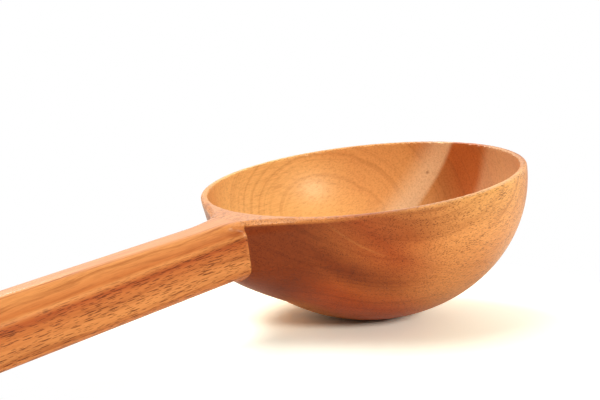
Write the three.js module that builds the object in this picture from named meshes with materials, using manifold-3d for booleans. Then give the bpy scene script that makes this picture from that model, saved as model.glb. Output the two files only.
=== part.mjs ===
// Wooden ladle: a turned bowl with a short neck, an eight-sided handle and the hidden dowel that joins them.
// Millimetres. +Z is up and +X runs from the handle's end towards the bowl. The ladle lies at rest, on the
// flat of its underside and on the end of its handle, and the origin is under the middle of its box.

import * as THREE from 'three';
import { mergeVertices } from 'three/addons/utils/BufferGeometryUtils.js';
import Module from 'manifold-3d';

// Driving dimensions of the bowl
const BOWL_DIAMETER = 100; // across the outside of the rim
const BOWL_DEPTH = 45.2; // from the rim to the outside of the bottom
const BOWL_LEAN = 4; // how far the bottom lies beyond the rim's centre, away from the handle
const BOWL_POWER = 2; // power of the wall's curve: 2 is an ellipse, more is squarer
const RIM_THICKNESS = 2.1; // the rim is fully rounded
const FLOOR_THICKNESS = 4;
const FOOT_DEPTH = 0.3; // wood taken off the underside for the flat that it stands on

// Driving dimensions of the handle
const HANDLE_LENGTH = 125; // from the joint to the butt end
const HANDLE_WIDTH = 14.8; // across the two side faces
const HANDLE_HEIGHT = 15.7; // across the top and bottom faces at the joint
const TOP_BEVEL = 3.5; // leg, at the joint, of the two upper long bevels that make the section eight-sided
const LOW_BEVEL = 1.9; // leg of the two lower ones
const BUTT_BEVEL = 6.4; // leg of the upper bevels at the butt end
const BUTT_RISE = 1.3; // how far the top face has risen at the butt end
const ARRIS_RADIUS = 2.6; // easing of the eight long edges
const BUTT_CHAMFER = 1;

// Driving dimensions of the joint
const COVE_RADIUS = 5.2; // hollow that carries the neck's sides and underside into the bowl's wall
const TOP_COVE_RADIUS = 12; // wider hollow in which the neck's top face spreads into the rim
const DOWEL_DIAMETER = 7;
const DOWEL_IN_HANDLE = 24;
const DOWEL_CHAMFER = 0.8;
const DOWEL_SKIN = 2; // wood left between the dowel's hole and the inside of the bowl
const GLUE_GAP = 0.3; // room for glue between two pieces

// Fineness of the facets
const ROUND_STEPS = 72;
const WALL_STEPS = 14;
const RIM_STEPS = 6;
const ARRIS_STEPS = 2;
const COVE_STEPS = 6;
const DOWEL_STEPS = 24;
const SEARCH_STEPS = 40; // halvings, or samples, in each search for a fit

// Sizes that follow from the driving dimensions, in the ladle's own lie: z = 0 is the rim's plane, the
// rim's centre is at the origin and the handle runs along -X with its top face in the rim's plane.
const BOWL_RADIUS = BOWL_DIAMETER / 2;
const CAVITY_RADIUS = BOWL_RADIUS - RIM_THICKNESS;
const CAVITY_DEPTH = BOWL_DEPTH - FLOOR_THICKNESS;
const RIM_RADIUS = RIM_THICKNESS / 2;
const HANDLE_AXIS_Z = -HANDLE_HEIGHT / 2;
const DOWEL_RADIUS = DOWEL_DIAMETER / 2;
const BORE_RADIUS = DOWEL_RADIUS + GLUE_GAP;
const JOINT_X = wallX(BOWL_RADIUS, BOWL_DEPTH, HANDLE_WIDTH / 2, 0) - COVE_RADIUS;
const BUTT_X = JOINT_X - GLUE_GAP - HANDLE_LENGTH;
const BORE_END_X = wallX(CAVITY_RADIUS, CAVITY_DEPTH, 0, HANDLE_AXIS_Z + BORE_RADIUS) - DOWEL_SKIN;

const wasm = await Module();
wasm.setup();

// Radius of a wall at a height, for a wall of the given radius and depth
function wallRadius(radius, depth, z) {
  const share = Math.min(1, Math.abs(z) / depth);
  return radius * (1 - share ** BOWL_POWER) ** (1 / BOWL_POWER);
}

// Place of a wall, on the handle's side, at a given y and z
function wallX(radius, depth, y, z) {
  const reach = wallRadius(radius, depth, z);
  const lean = (BOWL_LEAN * Math.abs(z)) / BOWL_DEPTH;
  return lean - Math.sqrt(Math.max(0, reach * reach - y * y));
}

// A closed geometry as a solid that can be joined and cut
function solidOf(geometry) {
  const bare = geometry.clone();
  bare.deleteAttribute('normal');
  bare.deleteAttribute('uv');
  const merged = mergeVertices(bare, 1e-4);
  const corners = merged.index.array;
  const kept = [];
  for (let i = 0; i < corners.length; i += 3) {
    const [a, b, c] = [corners[i], corners[i + 1], corners[i + 2]];
    if (a !== b && b !== c && c !== a) kept.push(a, b, c);
  }
  const vertProperties = new Float32Array(merged.attributes.position.array);
  const triVerts = new Uint32Array(kept);
  return new wasm.Manifold(new wasm.Mesh({ numProp: 3, vertProperties, triVerts }));
}

function geometryOf(solid) {
  const mesh = solid.getMesh();
  const geometry = new THREE.BufferGeometry();
  geometry.setAttribute('position', new THREE.BufferAttribute(mesh.vertProperties, 3));
  geometry.setIndex(new THREE.BufferAttribute(mesh.triVerts, 1));
  geometry.computeVertexNormals();
  return geometry;
}

// Skin over rings of points that follow each other along +X, with both ends closed
function loft(rings) {
  const count = rings[0].length;
  const points = rings.flat();
  const index = [];
  for (let ring = 0; ring + 1 < rings.length; ring += 1) {
    for (let i = 0; i < count; i += 1) {
      const a = ring * count + i;
      const b = ring * count + ((i + 1) % count);
      index.push(a, b, a + count, b, b + count, a + count);
    }
  }
  const ends = [rings[0], rings[rings.length - 1]];
  ends.forEach((ring, end) => {
    const middle = points.length;
    const first = end * (rings.length - 1) * count;
    const sum = ring.reduce((total, point) => total.add(point), new THREE.Vector3());
    points.push(sum.divideScalar(count));
    for (let i = 0; i < count; i += 1) {
      const a = first + i;
      const b = first + ((i + 1) % count);
      index.push(middle, end ? a : b, end ? b : a);
    }
  });
  const geometry = new THREE.BufferGeometry().setFromPoints(points);
  geometry.setIndex(index);
  return geometry;
}

// The handle's section in y and z for an upper bevel and a height of the top face: eight faces with eased
// edges, each point with its outward direction
function handleSection(topBevel, topZ) {
  const side = HANDLE_WIDTH / 2;
  const top = side - topBevel;
  const under = side - LOW_BEVEL;
  const low = -HANDLE_HEIGHT;
  const corners = [
    [side, low + LOW_BEVEL],
    [side, topZ - topBevel],
    [top, topZ],
    [-top, topZ],
    [-side, topZ - topBevel],
    [-side, low + LOW_BEVEL],
    [-under, low],
    [under, low],
  ].map(([y, z]) => new THREE.Vector2(y, z));
  const turn = (2 * Math.PI) / corners.length;
  return corners.flatMap((corner, i) => {
    const previous = corners[(i + corners.length - 1) % corners.length];
    const along = corner.clone().sub(previous).normalize();
    const facing = along.angle() - Math.PI / 2;
    const out = new THREE.Vector2(Math.cos(facing), Math.sin(facing));
    const centre = corner.clone();
    centre.addScaledVector(along, -ARRIS_RADIUS * Math.tan(turn / 2));
    centre.addScaledVector(out, -ARRIS_RADIUS);
    return Array.from({ length: ARRIS_STEPS + 1 }, (_, step) => {
      const angle = facing + (turn * step) / ARRIS_STEPS;
      const normal = new THREE.Vector2(Math.cos(angle), Math.sin(angle));
      return { place: centre.clone().addScaledVector(normal, ARRIS_RADIUS), normal };
    });
  });
}

// How one line of the section spreads into the bowl's wall: a hollow arc, in a lengthwise plane, whose ball
// rolls along the line until it meets the wall. Points of the upper half spread sideways only, so that the
// top face stays in the rim's plane.
function coveOf({ place, normal }) {
  const sideways = new THREE.Vector2(Math.sign(place.x), 0);
  const spread = normal.y > 0 ? sideways : normal;
  const share = Math.min(1, -place.y / TOP_BEVEL);
  const radius = THREE.MathUtils.lerp(TOP_COVE_RADIUS, COVE_RADIUS, share);
  const pointAt = (x, out) => new THREE.Vector3(x, place.x + out * spread.x, place.y + out * spread.y);
  const wallAt = (out) => {
    const { y, z } = pointAt(0, out);
    return wallX(BOWL_RADIUS, BOWL_DEPTH, y, z);
  };
  const nearestWall = (ballX) => {
    let nearest = { gap: Infinity, out: 0 };
    for (let i = 0; i <= SEARCH_STEPS; i += 1) {
      const out = (radius * i) / SEARCH_STEPS;
      const gap = Math.hypot(wallAt(out) - ballX, out - radius);
      if (gap < nearest.gap) nearest = { gap, out };
    }
    return nearest;
  };
  let [clear, sunk] = [BUTT_X, wallAt(0)];
  for (let i = 0; i < SEARCH_STEPS; i += 1) {
    const ballX = (clear + sunk) / 2;
    if (nearestWall(ballX).gap > radius) clear = ballX;
    else sunk = ballX;
  }
  const { out: wallOut } = nearestWall(clear);
  return {
    startX: clear,
    endAngle: Math.atan2(wallAt(wallOut) - clear, radius - wallOut),
    angleAt: (x) => Math.asin(THREE.MathUtils.clamp((x - clear) / radius, 0, 1)),
    pointAtAngle: (angle, x) => pointAt(x ?? clear + radius * Math.sin(angle), radius * (1 - Math.cos(angle))),
  };
}

const SECTION = handleSection(TOP_BEVEL, 0);
const BUTT_SECTION = handleSection(BUTT_BEVEL, BUTT_RISE);
const COVES = SECTION.map(coveOf);

// The section's outline at a place along the handle, spread where the coves have begun
function spreadRing(x) {
  return COVES.map((cove) => cove.pointAtAngle(cove.angleAt(x), x));
}

// The butt end's outline at a place along the handle, taken inwards by an inset
function buttRing(x, inset) {
  return BUTT_SECTION.map(({ place, normal }) => {
    const { x: y, y: z } = place.clone().addScaledVector(normal, -inset);
    return new THREE.Vector3(x, y, z);
  });
}

function handleGeometry() {
  const endX = JOINT_X - GLUE_GAP;
  const flareX = Math.min(endX - COVE_RADIUS, ...COVES.map((cove) => cove.startX));
  const rings = [buttRing(BUTT_X, BUTT_CHAMFER), buttRing(BUTT_X + BUTT_CHAMFER, 0)];
  for (let step = 0; step <= COVE_STEPS; step += 1) {
    rings.push(spreadRing(THREE.MathUtils.lerp(flareX, endX, step / COVE_STEPS)));
  }
  return loft(rings);
}

// The neck runs from the joint along the coves to the bowl's wall, and its root ends inside the wall
function neckGeometry() {
  const rings = [spreadRing(JOINT_X)];
  for (let step = 1; step <= COVE_STEPS; step += 1) {
    rings.push(
      COVES.map((cove) => {
        const angle = THREE.MathUtils.lerp(cove.angleAt(JOINT_X), cove.endAngle, step / COVE_STEPS);
        return cove.pointAtAngle(angle);
      }),
    );
  }
  const root = new THREE.Vector3(RIM_RADIUS, 0, 0);
  rings.push(rings[COVE_STEPS].map((point) => point.clone().add(root)));
  return loft(rings);
}

// Half outline of a wall, from just under the rim to the axis
function wallOutline(radius, depth) {
  const start = Math.asin((RIM_RADIUS / depth) ** (BOWL_POWER / 2));
  return Array.from({ length: WALL_STEPS + 1 }, (_, step) => {
    const angle = start + ((Math.PI / 2 - start) * step) / WALL_STEPS;
    const z = step < WALL_STEPS ? -depth * Math.sin(angle) ** (2 / BOWL_POWER) : -depth;
    return new THREE.Vector2(wallRadius(radius, depth, z), z);
  });
}

function bowlGeometry() {
  const outside = wallOutline(BOWL_RADIUS, BOWL_DEPTH).reverse();
  const inside = wallOutline(CAVITY_RADIUS, CAVITY_DEPTH);
  const rim = [];
  for (let step = 1; step < RIM_STEPS; step += 1) {
    const angle = (Math.PI * step) / RIM_STEPS;
    const reach = BOWL_RADIUS - RIM_RADIUS + RIM_RADIUS * Math.cos(angle);
    rim.push(new THREE.Vector2(reach, RIM_RADIUS * (Math.sin(angle) - 1)));
  }
  const geometry = new THREE.LatheGeometry([...outside, ...rim, ...inside], ROUND_STEPS);
  geometry.rotateX(Math.PI / 2);
  const lean = new THREE.Matrix4().makeShear(0, 0, 0, 0, -BOWL_LEAN / BOWL_DEPTH, 0);
  return geometry.applyMatrix4(lean);
}

// A round stick with chamfered ends along the handle's axis
function stickGeometry(fromX, toX, radius, chamfer) {
  const length = toX - fromX;
  const outline = [
    [0, 0],
    [radius - chamfer, 0],
    [radius, chamfer],
    [radius, length - chamfer],
    [radius - chamfer, length],
    [0, length],
  ].map(([reach, along]) => new THREE.Vector2(reach, along));
  const geometry = new THREE.LatheGeometry(outline, DOWEL_STEPS);
  geometry.rotateZ(-Math.PI / 2);
  return geometry.translate(fromX, 0, HANDLE_AXIS_Z);
}

// Lowest height among points when the ladle tips by an angle that sinks the handle's end
function lowest(geometry, tilt) {
  const places = geometry.attributes.position;
  let level = Infinity;
  for (let i = 0; i < places.count; i += 1) {
    level = Math.min(level, places.getX(i) * Math.sin(tilt) + places.getZ(i) * Math.cos(tilt));
  }
  return level;
}

// The tilt at which the foot and the butt end both touch the table
function restingTilt(bowl, handle) {
  let [level, steep] = [0, Math.PI / 2];
  for (let i = 0; i < SEARCH_STEPS; i += 1) {
    const tilt = (level + steep) / 2;
    if (lowest(handle, tilt) > lowest(bowl, tilt) + FOOT_DEPTH) level = tilt;
    else steep = tilt;
  }
  return level;
}

// Everything below the foot's plane, which lies level once the ladle is tipped
function belowFoot(bowl, tilt) {
  const span = 2 * BOWL_DIAMETER;
  const block = new THREE.BoxGeometry(span, span, BOWL_DEPTH);
  block.translate(0, 0, lowest(bowl, tilt) + FOOT_DEPTH - BOWL_DEPTH / 2);
  return block.rotateY(tilt);
}

function piece(name, geometry, color, roughness) {
  const material = new THREE.MeshStandardMaterial({ color, roughness, metalness: 0 });
  const mesh = new THREE.Mesh(geometry, material);
  mesh.name = name;
  return mesh;
}

function ladle() {
  const dowelStart = JOINT_X - GLUE_GAP - DOWEL_IN_HANDLE;
  const dowel = stickGeometry(dowelStart, BORE_END_X - GLUE_GAP, DOWEL_RADIUS, DOWEL_CHAMFER);
  const bore = solidOf(stickGeometry(dowelStart - GLUE_GAP, BORE_END_X, BORE_RADIUS, DOWEL_CHAMFER));
  const stick = handleGeometry();
  const round = solidOf(bowlGeometry()).add(solidOf(neckGeometry())).subtract(bore);
  const tilt = restingTilt(geometryOf(round), stick);
  const foot = solidOf(belowFoot(geometryOf(round), tilt));

  const tipped = new THREE.Group();
  tipped.rotation.y = -tilt;
  tipped.add(
    piece('bowl', geometryOf(round.subtract(foot)), 0xb4622c, 0.42),
    piece('handle', geometryOf(solidOf(stick).subtract(bore)), 0xc2733a, 0.45),
    piece('joint_dowel', dowel, 0xcfa878, 0.6),
  );
  const box = new THREE.Box3().setFromObject(tipped, true);
  const middle = box.getCenter(new THREE.Vector3());
  tipped.position.set(-middle.x, -middle.y, -box.min.z);
  return new THREE.Group().add(tipped);
}

export default ladle();
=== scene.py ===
import math
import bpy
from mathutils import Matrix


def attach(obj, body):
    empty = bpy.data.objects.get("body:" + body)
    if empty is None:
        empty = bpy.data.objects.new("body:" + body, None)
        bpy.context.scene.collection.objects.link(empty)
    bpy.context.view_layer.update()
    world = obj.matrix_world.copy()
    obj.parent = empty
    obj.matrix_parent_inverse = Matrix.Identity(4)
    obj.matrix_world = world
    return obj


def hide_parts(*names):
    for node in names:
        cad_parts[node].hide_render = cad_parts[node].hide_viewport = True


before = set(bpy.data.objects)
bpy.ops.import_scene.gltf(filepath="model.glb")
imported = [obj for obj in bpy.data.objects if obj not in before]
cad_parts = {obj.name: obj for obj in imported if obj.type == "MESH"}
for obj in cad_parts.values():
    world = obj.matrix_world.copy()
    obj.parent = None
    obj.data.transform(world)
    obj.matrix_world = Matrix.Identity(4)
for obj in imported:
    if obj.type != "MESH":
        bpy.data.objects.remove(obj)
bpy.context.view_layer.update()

from types import SimpleNamespace

import bpy
import numpy as np
from mathutils import Matrix, Vector

# Sizes of the ladle, in metres
BOWL_DEPTH = 0.0452
BOWL_POWER = 2.0
BOWL_LEAN = 0.004
RIM_THICKNESS = 0.0021
RIM_ROUND = 0.0009
FLOOR_THICKNESS = 0.004
NECK_REACH = 0.05465
TOP_BEVEL = 0.0035
LOW_BEVEL = 0.0019
BUTT_BEVEL = 0.0064
BUTT_RISE = 0.0013
ARRIS_RADIUS = 0.0026
BUTT_CHAMFER = 0.001
SIDE_COVE = 0.0006
TOP_COVE = 0.012
NECK_DROP = 0.018
NECK_SHOULDER = 0.001
NECK_ROUND = 0.004
DOWEL_DIAMETER = 0.007
GLUE_GAP = 0.0003
JOINT_GAP = 0.00005
FACET_INSET = 0.00008

# Fineness of the meshes
BOWL_VOXEL = 0.00075
SNAP_ROUNDS = 3
HANDLE_RINGS = 200
SECTION_POINTS = 72
SECTION_FILLET = 8
BORE_SIDES = 32
VOLUME_MARGIN = 0.003
SHARP_ANGLE = math.radians(40)
FLOOR_SIZE = 6

# A blend over a distance d eases a corner about as a fillet of radius d / BLEND_PER_RADIUS does
BLEND_PER_RADIUS = 1.757
SQUARE_CORNER = math.sqrt(0.5)
# An eased arris of the eight-sided section turns by only 45 degrees and takes a shorter blend
BLEND_PER_ARRIS = 0.45
BLEND_PER_CHAMFER = 2
RIM_BLEND = 0.0007
EDGE_BLEND = 0.0009
# The cove at the neck stays tight up the handle's bevel and widens at its top
COVE_SPREAD = 2.5
# With this power the keel under the neck runs down in a nearly straight line
KEEL_POWER = 1.5
# The handle's section ends within the bowl, at this share of its radius from the middle
ROD_END = 0.5
# A block that cuts the handle is so many times as wide and as high
BLOCK_SPREAD = 4

# The wood, in millimetres in the ladle's own lie and in linear light.
# The bowl's tones lie across TONE_ACROSS, its dark band and light line across LAYER_ACROSS
# and its rings across RING_ACROSS
MILLIMETRE = 0.001
TONE_ACROSS = (0, 0.9, -0.44)
LAYER_ACROSS = (0.24, 0.85, -0.47)
RING_ACROSS = (0.36, 0.72, -0.59)
TONE_SPAN = 50
HIGHLIGHT_AND_SHEEN_TONE = (0.92, 0.62, 0.33)
GOLDEN = (0.84, 0.45, 0.14)
AMBER = (0.72, 0.32, 0.095)
HONEY = (0.64, 0.25, 0.07)
ORANGE = (0.51, 0.15, 0.035)
BRICK = (0.50, 0.09, 0.012)
RUSSET = (0.39, 0.077, 0.015)
UMBER = (0.21, 0.034, 0.006)
BOWL_TONES = [(-46, GOLDEN), (-40, AMBER), (-35, ORANGE), (-29, RUSSET), (-18, ORANGE), (-6, BRICK),
              (4, BRICK), (10, ORANGE), (18, AMBER), (34, AMBER), (42, GOLDEN)]
# The handle's tones follow its upper arris, with a painted highlight as a paler band along it and a dark
# streak under it
HANDLE_TONES_AND_HIGHLIGHT = [(-13, ORANGE), (-8, HONEY), (-3.2, ORANGE), (-1.5, RUSSET), (-0.8, ORANGE), (0, HONEY),
                (0.8, ORANGE), (3, HONEY), (7, HONEY)]
# Noises of the grain: draw along it, scale, detail and roughness
SLOW_NOISE = (0.35, 0.045, 3.0, 0.5)
FIBRE_NOISE = (0.06, 1.7, 4.0, 0.6)
PATCH_NOISE = (0.3, 0.5, 2.0, 0.5)
DOWEL_NOISE = (0.05, 1.5, 3.0, 0.5)
# Noises of rings and streaks: draws along and across the grain, then scale, detail and roughness
RING_DRAW = (0.01, 0.01)
RING_NOISE = (0.85, 4.0, 0.65)
STREAK_DRAW = (0.012, 0.4)
STREAK_NOISE = (1.1, 4.0, 0.65)
# How far the slow noise sways each marking
TONE_SWAY = 5
BAND_SWAY = 4
NECK_SWAY = 4
RING_SWAY = 2
SIDE_SWAY = 4
SHEEN_SWAY = 5
STREAK_SWAY = 3
# Shares of shade over a noise: its start and end, and the share at each
FIBRE_SHADE = (-0.1, 0.7, 0, 0.6)
RING_SHADE = (0, 0.4, 0, 0.48)
STREAK_SHADE = (0, 0.3, 0, 0.7)
DOWEL_SHADE = (0, 0.8, 0, 0.4)
# Dark band and light line on the outside near the neck, and where they fade along the handle
DARK_BAND = -24
DARK_BAND_HALF = 8
BAND_FADE = (-18, -36)
LIGHT_LINE = -31.5
LIGHT_LINE_HALF = 0.45
LINE_SHARE = 0.4
LINE_FADE = (-30, -36)
# The neck is dark below its top, darker wood deepened by painted shade, and honey coloured on its top face,
# lighter wood with a painted highlight
NECK_FADE = (-33, -47)
NECK_TOP_HIGHLIGHT = (-1.8, -0.8)
BAND_AND_NECK_SHADE_SHARE = 0.95
# A painted highlight, a pale streak across PALE_ACROSS: a sharp edge, a peak and a soft end
PALE_ACROSS = (0, 0.88, 0.48)
PALE_EDGE = (0.2, 2.2)
PALE_END = (4, 14)
PAINTED_HIGHLIGHT_SHARE = 0.85
# The hollow has a painted sheen: it is paler again beyond a line across SHEEN_ACROSS
SHEEN_ACROSS = (0, 0.966, 0.26)
SHEEN_EDGE = (-10.5, -16)
SHEEN_SHARE = 0.4
# The painted highlight and the painted sheen lie at the far end of the hollow
FAR_END = (20, 38)
# The hollow is painted paler all over with painted light
INSIDE_LIGHT_SHARE = 0.16
# Along SIDE_ACROSS the outside gets painted shade under the rim, and painted light below it
SIDE_ACROSS = (0.72, -0.69, 0)
UNDER_RIM_SHADE_START = (-10, 10)
UNDER_RIM_SHADE_END = (12, 48, 0.7, 0)
UNDER_RIM_SHADE_HEIGHT = (-12, -7)
LOWER_SIDE_LIGHT = (2, 22, 0, 0.7)
LOWER_LIGHT_HEIGHT = (-8, -14)
# The rim's outer edge is painted golden away from the neck, a painted highlight on its rounding
RIM_HIGHLIGHT_HEIGHT = (-1.4, -0.5, 0, 0.25)
RIM_HIGHLIGHT_FADE = (-42, -20)
KNOT = (45.0, 11.4, -10.6)
KNOT_RADIUS = 1.1
KNOT_CORE = 0.4
KNOT_SHARE = 0.8
SHADE = (0.55, 0.38, 0.28, 1)
# Pores as length, width and strength; their cores vary in size and have soft edges
PORE_DARK = (0.28, 0.17, 0.11, 1)
PORE_CORE = (-0.6, 0.6, 0.24, 0.44)
PORE_SOFT = 0.6
BOWL_PORES = [(2.8, 0.38, 0.7), (1.5, 0.26, 0.6)]
INSIDE_PORES = 0.8
HANDLE_PORES = [(5.0, 0.42, 0.9), (2.6, 0.28, 0.75)]
HANDLE_PORE_HEIGHT = (0.6, -1.0, 0.15, 1)
# Share of the bowl's outer size at which its wall turns from smooth inside to open-pored outside
WALL_MIDDLE = (0.985, 0.965)
PALE_WOOD = (0.58, 0.37, 0.18, 1)
GLOSS_LEVEL = 0.3
GLOSS_TINT = (1, 0.92, 0.7, 1)
ROUGHNESS = (0.30, 0.42)
DOWEL_ROUGHNESS = 0.6
FIBRE_HEIGHT = 0.2
BUMP_STRENGTH = 0.3
BUMP_DISTANCE = 0.0001

# The studio: lamps as name, turn, climb, distance, size and power
LAMPS = [
    ("key_right", math.radians(40), math.radians(22), 0.9, 0.2, 5.7),
    ("back_left", math.radians(-139), math.radians(46.5), 0.9, 0.3, 4.0),
    ("top_left", math.radians(-60), math.radians(62), 0.85, 0.6, 5.0),
]
ROOM_EDGE = (0.1, 0.45)
ROOM_FRONT = 0.15
ROOM_BACK = 1.3
FLOOR_COLOUR = (0.85, 0.75, 0.6, 1)
FLOOR_SHOWN = (1.3, 1.37, 1.17, 1)
FLOOR_NEAR = 0.04
FLOOR_FAR = 0.11

# The camera, from the middle of the rim
LENS_MM = 60
SENSOR_MM = 36
VIEW_TURN = math.radians(44.02)
VIEW_PITCH = math.radians(6.868)
VIEW_RIGHT = -0.0189
VIEW_BACK = 0.3071
VIEW_RISE = 0.02894
CLIP_START = 0.01


# Node helpers

class Term:
    """A number on a node socket. Arithmetic with it adds Math nodes to its tree."""

    def __init__(self, tree, socket):
        self.tree = tree
        self.socket = socket

    def math(self, operation, *others):
        node = self.tree.nodes.new("ShaderNodeMath")
        node.operation = operation
        for value, socket in zip((self, *others), node.inputs):
            plug(self.tree, value, socket)
        return Term(self.tree, node.outputs[0])

    def __add__(self, other):
        return self.math("ADD", other)

    def __radd__(self, other):
        return self.math("ADD", other)

    def __sub__(self, other):
        return self.math("SUBTRACT", other)

    def __rsub__(self, other):
        return self.math("MULTIPLY", -1).math("ADD", other)

    def __mul__(self, other):
        return self.math("MULTIPLY", other)

    def __rmul__(self, other):
        return self.math("MULTIPLY", other)

    def __truediv__(self, other):
        return self.math("DIVIDE", other)

    def __neg__(self):
        return self.math("MULTIPLY", -1)

    def __pow__(self, other):
        return self.math("POWER", other)

    def __abs__(self):
        return self.math("ABSOLUTE")

    def least(self, other):
        return self.math("MINIMUM", other)

    def most(self, other):
        return self.math("MAXIMUM", other)

    def above(self, other):
        return self.math("GREATER_THAN", other)

    def root(self):
        return self.math("SQRT")


def plug(tree, value, socket):
    """Feeds a socket from a term, from another socket or with a plain value."""
    if isinstance(value, Term):
        tree.links.new(value.socket, socket)
    elif isinstance(value, bpy.types.NodeSocket):
        tree.links.new(value, socket)
    else:
        socket.default_value = value


def add(tree, kind, settings=None, **inputs):
    """Adds a node with its settings, and with inputs by socket name, where _ stands for a space."""
    node = tree.nodes.new(kind)
    for name, value in (settings or {}).items():
        setattr(node, name, value)
    for name, value in inputs.items():
        plug(tree, value, node.inputs[name.replace("_", " ")])
    return node


def split(tree, vector):
    """The three parts of a vector as terms."""
    node = add(tree, "ShaderNodeSeparateXYZ", Vector=vector)
    return [Term(tree, socket) for socket in node.outputs]


def joined(tree, x, y, z):
    """A vector of three terms or numbers."""
    node = tree.nodes.new("ShaderNodeCombineXYZ")
    for value, socket in zip((x, y, z), node.inputs):
        plug(tree, value, socket)
    return node.outputs[0]


def reach(a, b):
    """Length of the two-dimensional vector (a, b)."""
    return (a * a + b * b).root()


def choose(flag, no, yes):
    """The term no where flag is 0 and the term or number yes where it is 1."""
    return no * (1 - flag) + flag * yes


def ramp(term, start, end, low=0.0, high=1.0, smooth=False):
    """A term that goes from low to high while the given one goes from start to end."""
    kind = "SMOOTHSTEP" if smooth else "LINEAR"
    node = add(term.tree, "ShaderNodeMapRange", {"interpolation_type": kind, "clamp": True}, Value=term)
    for name, value in (("From Min", start), ("From Max", end), ("To Min", low), ("To Max", high)):
        plug(term.tree, value, node.inputs[name])
    return Term(term.tree, node.outputs["Result"])


# The lie of the ladle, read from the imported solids

def points_of(node):
    return np.array([vertex.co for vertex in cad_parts[node].data.vertices])


def handle_direction():
    """Unit vector along the handle towards the bowl: the long axis of the dowel in it."""
    points = points_of("joint_dowel")
    axis = np.linalg.svd(points - points.mean(axis=0), full_matrices=False)[2][0]
    return axis * np.sign(axis[0])


ALONG = handle_direction()
TILT = math.atan2(ALONG[2], ALONG[0])
LEVEL = Matrix.Rotation(TILT, 3, "Y")
BOWL_POINTS = points_of("bowl") @ np.array(LEVEL).T
HANDLE_POINTS = points_of("handle") @ np.array(LEVEL).T
DOWEL_POINTS = points_of("joint_dowel") @ np.array(LEVEL).T
CENTRE_X = float(BOWL_POINTS[:, 0].min() + NECK_REACH)
RIM_TOP = float(BOWL_POINTS[:, 2].max())
RIM_CENTRE = LEVEL.inverted() @ Vector((CENTRE_X, 0, RIM_TOP))
LIE = Matrix.Translation(RIM_CENTRE) @ LEVEL.inverted().to_4x4()

BOWL_RADIUS = float(np.ptp(BOWL_POINTS[:, 1])) / 2 - FACET_INSET
HANDLE_WIDTH = float(np.ptp(HANDLE_POINTS[:, 1]))
HANDLE_HEIGHT = float(RIM_TOP - HANDLE_POINTS[:, 2].min())
BUTT_REACH = float(CENTRE_X - HANDLE_POINTS[:, 0].min())
DOWEL_REACH = float(CENTRE_X - DOWEL_POINTS[:, 0].min())
DOWEL_TIP = float(CENTRE_X - DOWEL_POINTS[:, 0].max())

# Inputs of the Geometry Nodes trees. Reaches are measured from the rim's centre along the handle
SIZES = {
    "bowl_radius": BOWL_RADIUS,
    "bowl_depth": BOWL_DEPTH,
    "bowl_lean": BOWL_LEAN,
    "rim_thickness": RIM_THICKNESS,
    "rim_round": RIM_ROUND,
    "floor_thickness": FLOOR_THICKNESS,
    "neck_reach": NECK_REACH,
    "neck_drop": NECK_DROP,
    "neck_round": NECK_ROUND,
    "neck_shoulder": NECK_SHOULDER,
    "side_cove": SIDE_COVE,
    "top_cove": TOP_COVE,
    "butt_reach": BUTT_REACH,
    "butt_chamfer": BUTT_CHAMFER,
    "butt_bevel": BUTT_BEVEL,
    "butt_rise": BUTT_RISE,
    "handle_width": HANDLE_WIDTH,
    "handle_height": HANDLE_HEIGHT,
    "top_bevel": TOP_BEVEL,
    "low_bevel": LOW_BEVEL,
    "arris_radius": ARRIS_RADIUS,
    "dowel_diameter": DOWEL_DIAMETER,
    "dowel_reach": DOWEL_REACH,
    "dowel_tip": DOWEL_TIP,
    "glue_gap": GLUE_GAP,
    "joint_gap": JOINT_GAP,
}


# Shape rules that the bowl and the handle share

def eased_most(a, b, distance):
    return a.math("SMOOTH_MAX", b, distance)


def eased_least(a, b, distance):
    return a.math("SMOOTH_MIN", b, distance)


def dome(radius, depth, mouth, bottom):
    """Distance from a bowl surface that is mouth wide at the rim and bottom deep, negative inside."""
    wide = (radius / mouth) ** BOWL_POWER
    down = (depth / bottom) ** BOWL_POWER
    return ((wide + down) ** (1 / BOWL_POWER) - 1) * ((mouth + bottom) * 0.5)


def handle_taper(size, x):
    """Share of the handle's taper at a place: 0 up to the joint and 1 at the butt end."""
    return ramp(-x, size.neck_reach, size.butt_reach)


def stick(size, taper, side, over, under):
    """Distance from the eight-sided section of the handle, whose upper bevels widen with the taper.

    side is the distance from its middle plane. over and under are the heights above its top and its bottom.
    """
    half = size.handle_width * 0.5
    top_leg = size.top_bevel + (size.butt_bevel - size.top_bevel) * taper
    top_bevel = (side + over - half + top_leg) * SQUARE_CORNER
    low_bevel = (side - under - half + size.low_bevel) * SQUARE_CORNER
    blend = size.arris_radius * BLEND_PER_ARRIS
    return eased_most(eased_most(side - half, over.most(-under), blend), top_bevel.most(low_bevel), blend)


def stick_half(size, z):
    """Half the width of the handle's section at a height, and nothing well below the handle."""
    under = size.handle_height + z
    top = ramp(z, -size.top_bevel, 0, 0, size.top_bevel)
    low = ramp(under, 0, size.low_bevel, size.low_bevel, 0)
    return (size.handle_width * 0.5 - top - low) * ramp(under, -size.neck_drop, 0, smooth=True)


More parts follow.
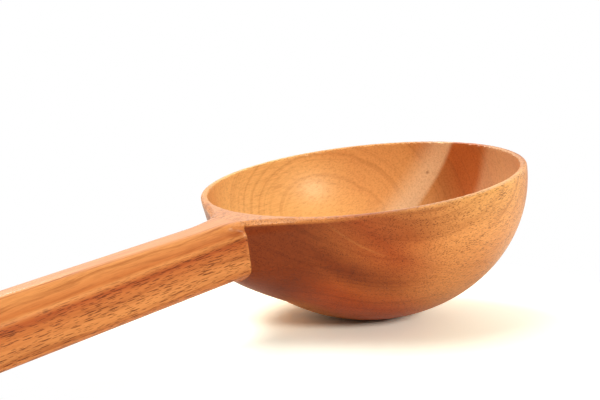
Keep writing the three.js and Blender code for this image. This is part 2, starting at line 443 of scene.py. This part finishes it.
def neck_radius(size, x, y, z):
    """Distance from the bowl's axis, taken so that the wall runs straight from the joint to the round.

    The straight stretch fades out at the top face, where a wide cove takes its place, and below the handle.
    """
    depth = (-z).most(0)
    down = (depth / size.bowl_depth).least(1) ** BOWL_POWER
    wall = (1 - down) ** (1 / BOWL_POWER) * size.bowl_radius
    centre = depth * size.bowl_lean / size.bowl_depth
    half = reach(stick_half(size, z), size.neck_round)
    back = size.neck_reach + centre
    round_wall = reach(wall, size.neck_round)
    top = ramp(z, 0, -size.neck_shoulder, smooth=True)
    under = ramp(z + size.handle_height, -size.neck_drop, 0) ** KEEL_POWER
    corner = round_wall + (reach(back, half) - round_wall) * top * under
    turn = half.math("ARCTAN2", -back) - (round_wall / corner).math("ARCCOSINE")
    side = reach(y, size.neck_round)
    round_part = reach(x - centre, side)
    straight_part = (x - centre) * turn.math("COSINE") + side * turn.math("SINE")
    on_neck = side.math("ARCTAN2", x - centre).above(turn)
    girth = choose(on_neck, round_part, straight_part)
    return (girth * girth - size.neck_round * size.neck_round).most(0).root()


def ladle_body(size, position):
    """Distance from the bowl, neck and handle as one body, negative in the wood, in the ladle's own lie."""
    x, y, z = split(size.bowl_radius.tree, position)
    depth = (-z).most(0)
    radius = reach(x - depth * size.bowl_lean / size.bowl_depth, y)
    outer_radius = neck_radius(size, x, y, z)
    over = z + size.rim_round
    in_rim = over.above(0)
    outer_edge = reach((outer_radius - size.bowl_radius + size.rim_round).most(0), over) - size.rim_round
    outer_wall = dome(outer_radius, depth, size.bowl_radius, size.bowl_depth)
    hollow = dome(radius, depth, size.bowl_radius - size.rim_thickness,
                  size.bowl_depth - size.floor_thickness)
    outside = choose(in_rim, outer_wall, outer_edge)
    taper = handle_taper(size, x)
    top = z - size.butt_rise * taper
    rod = stick(size, taper, abs(y), top, z + size.handle_height)
    rod = rod.most(x + size.bowl_radius * ROD_END)
    rod = eased_most(rod, -size.butt_reach - x, size.butt_chamfer * BLEND_PER_CHAMFER)
    spread = ramp(z, -size.top_bevel, 0) ** COVE_SPREAD
    cove = (size.side_cove + (size.top_cove - size.side_cove) * spread) * BLEND_PER_RADIUS
    body = eased_most(eased_least(outside, rod, cove), top, EDGE_BLEND)
    body = eased_most(body, -hollow, RIM_BLEND)
    table = -(x * math.sin(TILT) + z * math.cos(TILT) + RIM_CENTRE.z)
    return body.most(table)


# Geometry Nodes trees

def new_tree(name):
    """A tree with an input for each size, and these inputs as terms."""
    tree = bpy.data.node_groups.new(name, "GeometryNodeTree")
    for label in SIZES:
        tree.interface.new_socket(label, in_out="INPUT", socket_type="NodeSocketFloat")
    tree.interface.new_socket("Geometry", in_out="OUTPUT", socket_type="NodeSocketGeometry")
    sockets = tree.nodes.new("NodeGroupInput").outputs
    return tree, SimpleNamespace(**{label: Term(tree, sockets[label]) for label in SIZES})


def snapped(tree, size, mesh):
    """Moves the points of a mesh, in a few rounds, onto the surface of the ladle."""
    position = tree.nodes.new("GeometryNodeInputPosition").outputs[0]
    normal = tree.nodes.new("GeometryNodeInputNormal").outputs[0]
    for _ in range(SNAP_ROUNDS):
        step = add(tree, "ShaderNodeVectorMath", {"operation": "SCALE"}, Vector=normal,
                   Scale=-ladle_body(size, position))
        mesh = add(tree, "GeometryNodeSetPosition", Geometry=mesh, Offset=step.outputs[0]).outputs[0]
    return mesh


def planed(tree, size, mesh):
    """Moves the points of a plain tube, in rounds and square to its length, onto the tapered section."""
    x, y, z = split(tree, tree.nodes.new("GeometryNodeInputPosition").outputs[0])
    taper = handle_taper(size, x)
    distance = stick(size, taper, abs(y), z - size.butt_rise * taper, z + size.handle_height)
    outward = add(tree, "ShaderNodeVectorMath", {"operation": "NORMALIZE"},
                  Vector=joined(tree, 0, y, z + size.handle_height * 0.5))
    step = add(tree, "ShaderNodeVectorMath", {"operation": "SCALE"}, Vector=outward.outputs[0],
               Scale=-distance)
    for _ in range(SNAP_ROUNDS):
        mesh = add(tree, "GeometryNodeSetPosition", Geometry=mesh, Offset=step.outputs[0]).outputs[0]
    return mesh


def block(tree, size, low_x, high_x):
    """A block, wider than the handle, between two places along the ladle."""
    sides = joined(tree, high_x - low_x, size.handle_width * BLOCK_SPREAD, size.handle_height * BLOCK_SPREAD)
    cube = add(tree, "GeometryNodeMeshCube", Size=sides)
    middle = joined(tree, (low_x + high_x) * 0.5, 0, -size.handle_height * 0.5)
    return add(tree, "GeometryNodeTransform", Geometry=cube.outputs[0], Translation=middle).outputs[0]


def bore(tree, size, low_x, high_x):
    """The hole for the dowel between two places along the ladle."""
    drill = add(tree, "GeometryNodeMeshCylinder", Vertices=BORE_SIDES,
                Radius=size.dowel_diameter * 0.5 + size.glue_gap, Depth=high_x - low_x)
    middle = joined(tree, (low_x + high_x) * 0.5, 0, -size.handle_height * 0.5)
    placed = add(tree, "GeometryNodeTransform", Geometry=drill.outputs[0], Translation=middle,
                 Rotation=(0, math.pi / 2, 0))
    return placed.outputs[0]


def cut(tree, mesh, *tools):
    node = add(tree, "GeometryNodeMeshBoolean", {"operation": "DIFFERENCE", "solver": "FLOAT"}, Mesh_1=mesh)
    for tool in tools:
        tree.links.new(tool, node.inputs["Mesh 2"])
    return node.outputs["Mesh"]


def finish_tree(tree, mesh, material):
    real = add(tree, "GeometryNodeRealizeInstances", Geometry=mesh)
    painted = add(tree, "GeometryNodeSetMaterial", Geometry=real.outputs[0], Material=material)
    add(tree, "NodeGroupOutput", Geometry=painted.outputs[0])


def bowl_tree(material):
    tree, size = new_tree("bowl_shape")
    position = tree.nodes.new("GeometryNodeInputPosition").outputs[0]
    room = VOLUME_MARGIN
    low = joined(tree, -size.neck_reach - room, -size.bowl_radius - room, -size.bowl_depth - room)
    high = joined(tree, size.bowl_radius + room, size.bowl_radius + room, room)
    spans = (NECK_REACH + BOWL_RADIUS, 2 * BOWL_RADIUS, BOWL_DEPTH)
    cells = [math.ceil((span + 2 * room) / BOWL_VOXEL) for span in spans]
    density = 0.5 - ladle_body(size, position) / BOWL_VOXEL
    volume = add(tree, "GeometryNodeVolumeCube", Density=density, Background=0.0, Min=low, Max=high,
                 Resolution_X=cells[0], Resolution_Y=cells[1], Resolution_Z=cells[2])
    skin = add(tree, "GeometryNodeVolumeToMesh", Volume=volume.outputs[0], Threshold=0.5)
    mesh = snapped(tree, size, skin.outputs[0])
    beyond = -size.neck_reach * 2
    mesh = cut(tree, mesh, block(tree, size, beyond, -size.neck_reach),
               bore(tree, size, beyond, size.glue_gap - size.dowel_tip))
    finish_tree(tree, mesh, material)
    return tree


def handle_tree(material):
    tree, size = new_tree("handle_shape")
    middle = -size.handle_height * 0.5
    section = add(tree, "GeometryNodeCurvePrimitiveQuadrilateral", {"mode": "RECTANGLE"},
                  Width=size.handle_width, Height=size.handle_height)
    eased = add(tree, "GeometryNodeFilletCurve", {"mode": "POLY"}, Curve=section.outputs[0],
                Count=SECTION_FILLET, Radius=size.top_bevel)
    even = add(tree, "GeometryNodeResampleCurve", Curve=eased.outputs[0], Count=SECTION_POINTS)
    line = add(tree, "GeometryNodeCurvePrimitiveLine", Start=joined(tree, -size.butt_reach, 0, middle),
               End=joined(tree, VOLUME_MARGIN - size.neck_reach, 0, middle))
    path = add(tree, "GeometryNodeResampleCurve", Curve=line.outputs[0], Count=HANDLE_RINGS)
    tube = add(tree, "GeometryNodeCurveToMesh", Curve=path.outputs[0], Profile_Curve=even.outputs[0],
               Fill_Caps=True)
    mesh = snapped(tree, size, planed(tree, size, tube.outputs[0]))
    mesh = cut(tree, mesh, block(tree, size, -size.neck_reach - size.joint_gap, size.glue_gap),
               bore(tree, size, -size.dowel_reach - size.glue_gap, size.glue_gap))
    finish_tree(tree, mesh, material)
    return tree


def grown(name, tree):
    """A plain mesh object with what the tree makes, moved from the ladle's own lie into place."""
    piece = bpy.data.objects.new(name, bpy.data.meshes.new(name + "_seed"))
    bpy.context.scene.collection.objects.link(piece)
    shape = piece.modifiers.new("shape", "NODES")
    shape.node_group = tree
    for item in tree.interface.items_tree:
        if item.in_out == "INPUT":
            shape[item.identifier] = SIZES[item.name]
    graph = bpy.context.evaluated_depsgraph_get()
    mesh = bpy.data.meshes.new_from_object(piece.evaluated_get(graph))
    piece.modifiers.clear()
    mesh.name = name
    mesh.transform(LIE)
    mesh.shade_smooth()
    mesh.set_sharp_from_angle(angle=SHARP_ANGLE)
    piece.data = mesh
    return piece


# Wood

def new_material(name):
    material = bpy.data.materials.new(name)
    material.use_nodes = True
    tree = material.node_tree
    shader = tree.nodes["Principled BSDF"]
    shader.inputs["Specular IOR Level"].default_value = GLOSS_LEVEL
    shader.inputs["Specular Tint"].default_value = GLOSS_TINT
    return material, tree, shader


def grain_place(tree):
    """Object coordinates turned into the ladle's own lie, as terms along and across the grain."""
    place = tree.nodes.new("ShaderNodeTexCoord").outputs["Object"]
    turned = add(tree, "ShaderNodeMapping", {"vector_type": "TEXTURE"}, Vector=place, Location=RIM_CENTRE,
                 Rotation=LEVEL.inverted().to_euler(), Scale=(MILLIMETRE,) * 3)
    return split(tree, turned.outputs[0])


def noise(tree, place, scale, detail, roughness):
    """Noise about 0, within about -1 and 1."""
    node = add(tree, "ShaderNodeTexNoise", Vector=place, Scale=scale, Detail=detail, Roughness=roughness)
    return (Term(tree, node.outputs["Fac"]) - 0.5) * 2


def grain_noise(tree, place, draw, *settings):
    """Noise drawn out along the grain."""
    x, y, z = place
    return noise(tree, joined(tree, x * draw, y, z), *settings)


def pores(tree, place, length, width, vary):
    """Share of open pores at a place: cells drawn out along the grain, each with a core of varied size."""
    x, y, z = place
    cells = joined(tree, x / length, y / width, z / width)
    node = add(tree, "ShaderNodeTexVoronoi", {"feature": "F1"}, Vector=cells, Scale=1.0)
    core = ramp(vary, *PORE_CORE)
    return ramp(Term(tree, node.outputs["Distance"]), core * PORE_SOFT, core, 1, 0, smooth=True)


def tone(tree, value, stops):
    """A colour from a list of stops, each a place within the span on both sides of zero and a colour."""
    node = add(tree, "ShaderNodeValToRGB", Fac=ramp(value, -TONE_SPAN, TONE_SPAN))
    elements = node.color_ramp.elements
    while len(elements) < len(stops):
        elements.new(0.5)
    for element, (place, colour) in zip(elements, stops):
        element.position = (place + TONE_SPAN) / (2 * TONE_SPAN)
        element.color = (*colour, 1)
    return node.outputs["Color"]


def mixed(tree, share, a, b, kind="MIX"):
    node = add(tree, "ShaderNodeMix", {"data_type": "RGBA", "blend_type": kind})
    plug(tree, share, node.inputs["Factor"])
    plug(tree, a, node.inputs["A"])
    plug(tree, b, node.inputs["B"])
    return node.outputs["Result"]


def shaded(tree, share, colour):
    return mixed(tree, share, colour, SHADE, "MULTIPLY")


def across(place, direction):
    """Place along a direction, from terms along and across the grain."""
    x, y, z = [term * share for term, share in zip(place, direction)]
    return x + y + z


def oiled(tree, shader, colour, place, pore_sizes, open_share):
    """Finishes a wood: fibres and pores on the colour, and an oiled satin gloss that they break up."""
    fibre = grain_noise(tree, place, *FIBRE_NOISE)
    colour = shaded(tree, ramp(fibre, *FIBRE_SHADE), colour)
    patchy = grain_noise(tree, place, *PATCH_NOISE)
    depth = 0.0
    for length, width, strength in pore_sizes:
        pore = pores(tree, place, length, width, patchy) * strength * open_share
        colour = mixed(tree, pore, colour, PORE_DARK, "MULTIPLY")
        depth = pore + depth
    plug(tree, colour, shader.inputs["Base Color"])
    plug(tree, ramp(fibre, -1, 1, *ROUGHNESS), shader.inputs["Roughness"])
    bump = add(tree, "ShaderNodeBump", Height=fibre * FIBRE_HEIGHT - depth, Strength=BUMP_STRENGTH,
               Distance=BUMP_DISTANCE)
    plug(tree, bump.outputs[0], shader.inputs["Normal"])


def bowl_wood():
    """Golden sapwood to a russet heart with rings, a light line and a small knot. Painted shade deepens the
    neck and the outside under the rim, painted light pales the lower side and the hollow, and painted
    highlights and a painted sheen lie on the neck's top, the rim's edge and the hollow's far end.
    """
    material, tree, shader = new_material("bowl_wood")
    place = grain_place(tree)
    x, y, z = place
    slow = grain_noise(tree, place, *SLOW_NOISE)
    layer = across(place, LAYER_ACROSS)
    colour = tone(tree, across(place, TONE_ACROSS) + slow * TONE_SWAY, BOWL_TONES)
    line = ramp(abs(layer - LIGHT_LINE), 0, LIGHT_LINE_HALF, LINE_SHARE, 0, smooth=True)
    line = line * ramp(x, *LINE_FADE)
    band = ramp(abs(layer + slow * BAND_SWAY - DARK_BAND), 0, DARK_BAND_HALF, 1, 0, smooth=True)
    band = band * ramp(x, *BAND_FADE)
    neck = ramp(x + slow * NECK_SWAY, *NECK_FADE, smooth=True)
    top = ramp(z, *NECK_TOP_HIGHLIGHT, smooth=True)
    colour = mixed(tree, line, colour, (*HONEY, 1))
    # Mixed towards umber: the dark band in the wood, and the neck below its top, darker wood deepened by
    # painted shade
    colour = mixed(tree, band.most(neck) * (1 - top) * BAND_AND_NECK_SHADE_SHARE, colour, (*UMBER, 1))
    # Painted highlight on the neck's top face, over lighter wood
    colour = mixed(tree, neck * top, colour, (*HONEY, 1))
    along, aside = RING_DRAW
    ring = across(place, RING_ACROSS) + slow * RING_SWAY
    growth = noise(tree, joined(tree, x * along, y * aside, ring), *RING_NOISE)
    colour = shaded(tree, ramp(growth, *RING_SHADE), colour)

    depth = -z / (BOWL_DEPTH / MILLIMETRE)
    spread = reach(x - depth * (BOWL_LEAN / MILLIMETRE), y) / (BOWL_RADIUS / MILLIMETRE)
    inside = ramp(reach(spread, depth), *WALL_MIDDLE, smooth=True)
    side = across(place, SIDE_ACROSS) + slow * SIDE_SWAY
    # Painted shade on the outside under the rim
    under_rim_shade = ramp(side, *UNDER_RIM_SHADE_START, smooth=True) * ramp(side, *UNDER_RIM_SHADE_END)
    under_rim_shade = under_rim_shade * ramp(z, *UNDER_RIM_SHADE_HEIGHT, smooth=True)
    colour = shaded(tree, under_rim_shade * (1 - inside), colour)
    # Painted light on the outside's lower side, mixed towards amber
    lower_side_light = ramp(side, *LOWER_SIDE_LIGHT, smooth=True) * ramp(z, *LOWER_LIGHT_HEIGHT, smooth=True)
    colour = mixed(tree, lower_side_light * (1 - inside), colour, (*AMBER, 1))
    # Painted light: the hollow mixed towards golden
    colour = mixed(tree, inside * INSIDE_LIGHT_SHARE, colour, (*GOLDEN, 1))

    # Painted highlight: a pale streak on the hollow's far wall
    streak = across(place, PALE_ACROSS) + slow
    pale = ramp(streak, *PALE_EDGE, 0, PAINTED_HIGHLIGHT_SHARE, smooth=True) * ramp(streak, *PALE_END, 1, 0, smooth=True)
    # Painted sheen: the hollow paler beyond a line
    sheen = across(place, SHEEN_ACROSS) + slow * SHEEN_SWAY
    sheen = ramp(sheen, *SHEEN_EDGE, 0, SHEEN_SHARE, smooth=True)
    far_end = ramp(x, *FAR_END, smooth=True) * inside
    # The painted highlight and the painted sheen, in a pale tone
    colour = mixed(tree, pale.most(sheen) * far_end, colour, (*HIGHLIGHT_AND_SHEEN_TONE, 1))
    # Painted highlight along the rim's outer edge
    edge = ramp(z, *RIM_HIGHLIGHT_HEIGHT, smooth=True) * (1 - inside) * ramp(x, *RIM_HIGHLIGHT_FADE)
    colour = mixed(tree, edge, colour, (*GOLDEN, 1))
    gap = [term - at for term, at in zip(place, KNOT)]
    knot = reach(reach(gap[0], gap[1]), gap[2])
    knot = ramp(knot, KNOT_RADIUS * KNOT_CORE, KNOT_RADIUS, KNOT_SHARE, 0, smooth=True)
    colour = mixed(tree, knot, colour, (*UMBER, 1))
    oiled(tree, shader, colour, place, BOWL_PORES, 1 - inside * INSIDE_PORES)
    return material


def handle_wood():
    """Straight streaks from russet to honey along the handle, with a painted highlight on its upper arris
    and long open pores below it.
    """
    material, tree, shader = new_material("handle_wood")
    place = grain_place(tree)
    x, y, z = place
    slow = grain_noise(tree, place, *SLOW_NOISE)
    along, aside = STREAK_DRAW
    layer = across(place, TONE_ACROSS) + slow * STREAK_SWAY
    streak = noise(tree, joined(tree, x * along, y * aside, layer), *STREAK_NOISE)
    taper = ramp(x, -NECK_REACH / MILLIMETRE, -BUTT_REACH / MILLIMETRE)
    level = z + TOP_BEVEL / MILLIMETRE + taper * ((BUTT_BEVEL - BUTT_RISE - TOP_BEVEL) / MILLIMETRE)
    # The tone stops paint a highlight along the upper arris
    colour = tone(tree, level + streak, HANDLE_TONES_AND_HIGHLIGHT)
    colour = shaded(tree, ramp(streak, *STREAK_SHADE), colour)
    oiled(tree, shader, colour, place, HANDLE_PORES, ramp(level, *HANDLE_PORE_HEIGHT))
    return material


def dowel_wood():
    """Bare pale hardwood with straight fibres."""
    material, tree, shader = new_material("dowel_wood")
    fibre = grain_noise(tree, grain_place(tree), *DOWEL_NOISE)
    colour = shaded(tree, ramp(fibre, *DOWEL_SHADE), PALE_WOOD)
    plug(tree, colour, shader.inputs["Base Color"])
    shader.inputs["Roughness"].default_value = DOWEL_ROUGHNESS
    return material


# Stage, lights and camera

def view_axes():
    """Right, away and up of the camera's stand, level with the floor."""
    right = Vector((math.cos(VIEW_TURN), -math.sin(VIEW_TURN), 0))
    away = Vector((math.sin(VIEW_TURN), math.cos(VIEW_TURN), 0))
    return right, away, Vector((0, 0, 1))


def make_floor():
    """A pale floor. The camera sees it white, with the shadow, and plain white away from the ladle."""
    mesh = bpy.data.meshes.new("floor")
    side = FLOOR_SIZE / 2
    corners = [(-side, -side, 0), (side, -side, 0), (side, side, 0), (-side, side, 0)]
    mesh.from_pydata(corners, [], [(0, 1, 2, 3)])
    floor = bpy.data.objects.new("floor", mesh)
    bpy.context.scene.collection.objects.link(floor)
    material, tree, shader = new_material("floor_white")
    plain = add(tree, "ShaderNodeBsdfDiffuse", Color=FLOOR_COLOUR)
    shown = add(tree, "ShaderNodeBsdfDiffuse", Color=FLOOR_SHOWN)
    white = add(tree, "ShaderNodeEmission", Color=(1, 1, 1, 1), Strength=1.0)
    x, y, _ = split(tree, tree.nodes.new("ShaderNodeTexCoord").outputs["Object"])
    far = ramp(reach(x - RIM_CENTRE.x, y), FLOOR_NEAR, FLOOR_FAR, smooth=True)
    seen = add(tree, "ShaderNodeMixShader", Fac=far)
    tree.links.new(shown.outputs[0], seen.inputs[1])
    tree.links.new(white.outputs[0], seen.inputs[2])
    rays = tree.nodes.new("ShaderNodeLightPath")
    by_ray = add(tree, "ShaderNodeMixShader", Fac=rays.outputs["Is Camera Ray"])
    tree.links.new(plain.outputs[0], by_ray.inputs[1])
    tree.links.new(seen.outputs[0], by_ray.inputs[2])
    tree.links.new(by_ray.outputs[0], tree.nodes["Material Output"].inputs["Surface"])
    tree.nodes.remove(shader)
    mesh.materials.append(material)


def make_world():
    """A room that is white behind the ladle and dim before it, and plain white where the camera sees it."""
    _, away, _ = view_axes()
    world = bpy.data.worlds.new("studio")
    bpy.context.scene.world = world
    world.use_nodes = True
    tree = world.node_tree
    rays = tree.nodes.new("ShaderNodeLightPath")
    direction = tree.nodes.new("ShaderNodeTexCoord").outputs["Generated"]
    behind = add(tree, "ShaderNodeVectorMath", {"operation": "DOT_PRODUCT"}, Vector=direction)
    behind.inputs[1].default_value = away
    room = ramp(Term(tree, behind.outputs["Value"]), *ROOM_EDGE, ROOM_FRONT, ROOM_BACK, smooth=True)
    strength = choose(Term(tree, rays.outputs["Is Camera Ray"]), room, 1.0)
    background = tree.nodes["Background"]
    background.inputs["Color"].default_value = (1, 1, 1, 1)
    plug(tree, strength, background.inputs["Strength"])


def make_camera():
    right, away, up = view_axes()
    camera = bpy.data.objects.new("camera", bpy.data.cameras.new("camera"))
    camera.data.lens = LENS_MM
    camera.data.sensor_width = SENSOR_MM
    camera.data.clip_start = CLIP_START
    look = away * math.cos(VIEW_PITCH) - up * math.sin(VIEW_PITCH)
    camera.location = RIM_CENTRE + right * VIEW_RIGHT - away * VIEW_BACK + up * VIEW_RISE
    camera.rotation_euler = look.to_track_quat("-Z", "Y").to_euler()
    bpy.context.scene.collection.objects.link(camera)
    bpy.context.scene.camera = camera


def lamp(name, turn, climb, distance, size, watts):
    """A square area lamp aimed at the bowl, turned to the right of the camera and raised by its climb."""
    right, away, up = view_axes()
    level = right * math.sin(turn) - away * math.cos(turn)
    direction = level * math.cos(climb) + up * math.sin(climb)
    box = bpy.data.objects.new(name, bpy.data.lights.new(name, "AREA"))
    box.data.shape = "SQUARE"
    box.data.size = size
    box.data.energy = watts
    box.location = RIM_CENTRE + direction * distance
    box.rotation_euler = (-direction).to_track_quat("-Z", "Y").to_euler()
    bpy.context.scene.collection.objects.link(box)


bowl = grown("bowl_turned", bowl_tree(bowl_wood()))
handle = grown("handle_planed", handle_tree(handle_wood()))
for piece, node, slot in ((bowl, "bowl", "bowl_wood"), (handle, "handle", "handle_wood")):
    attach(piece, "root")
    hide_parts(node)

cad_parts["joint_dowel"].material_slots[0].material = dowel_wood()

make_floor()
make_world()
make_camera()
for stand in LAMPS:
    lamp(*stand)
bpy.context.scene.view_settings.view_transform = "Standard"
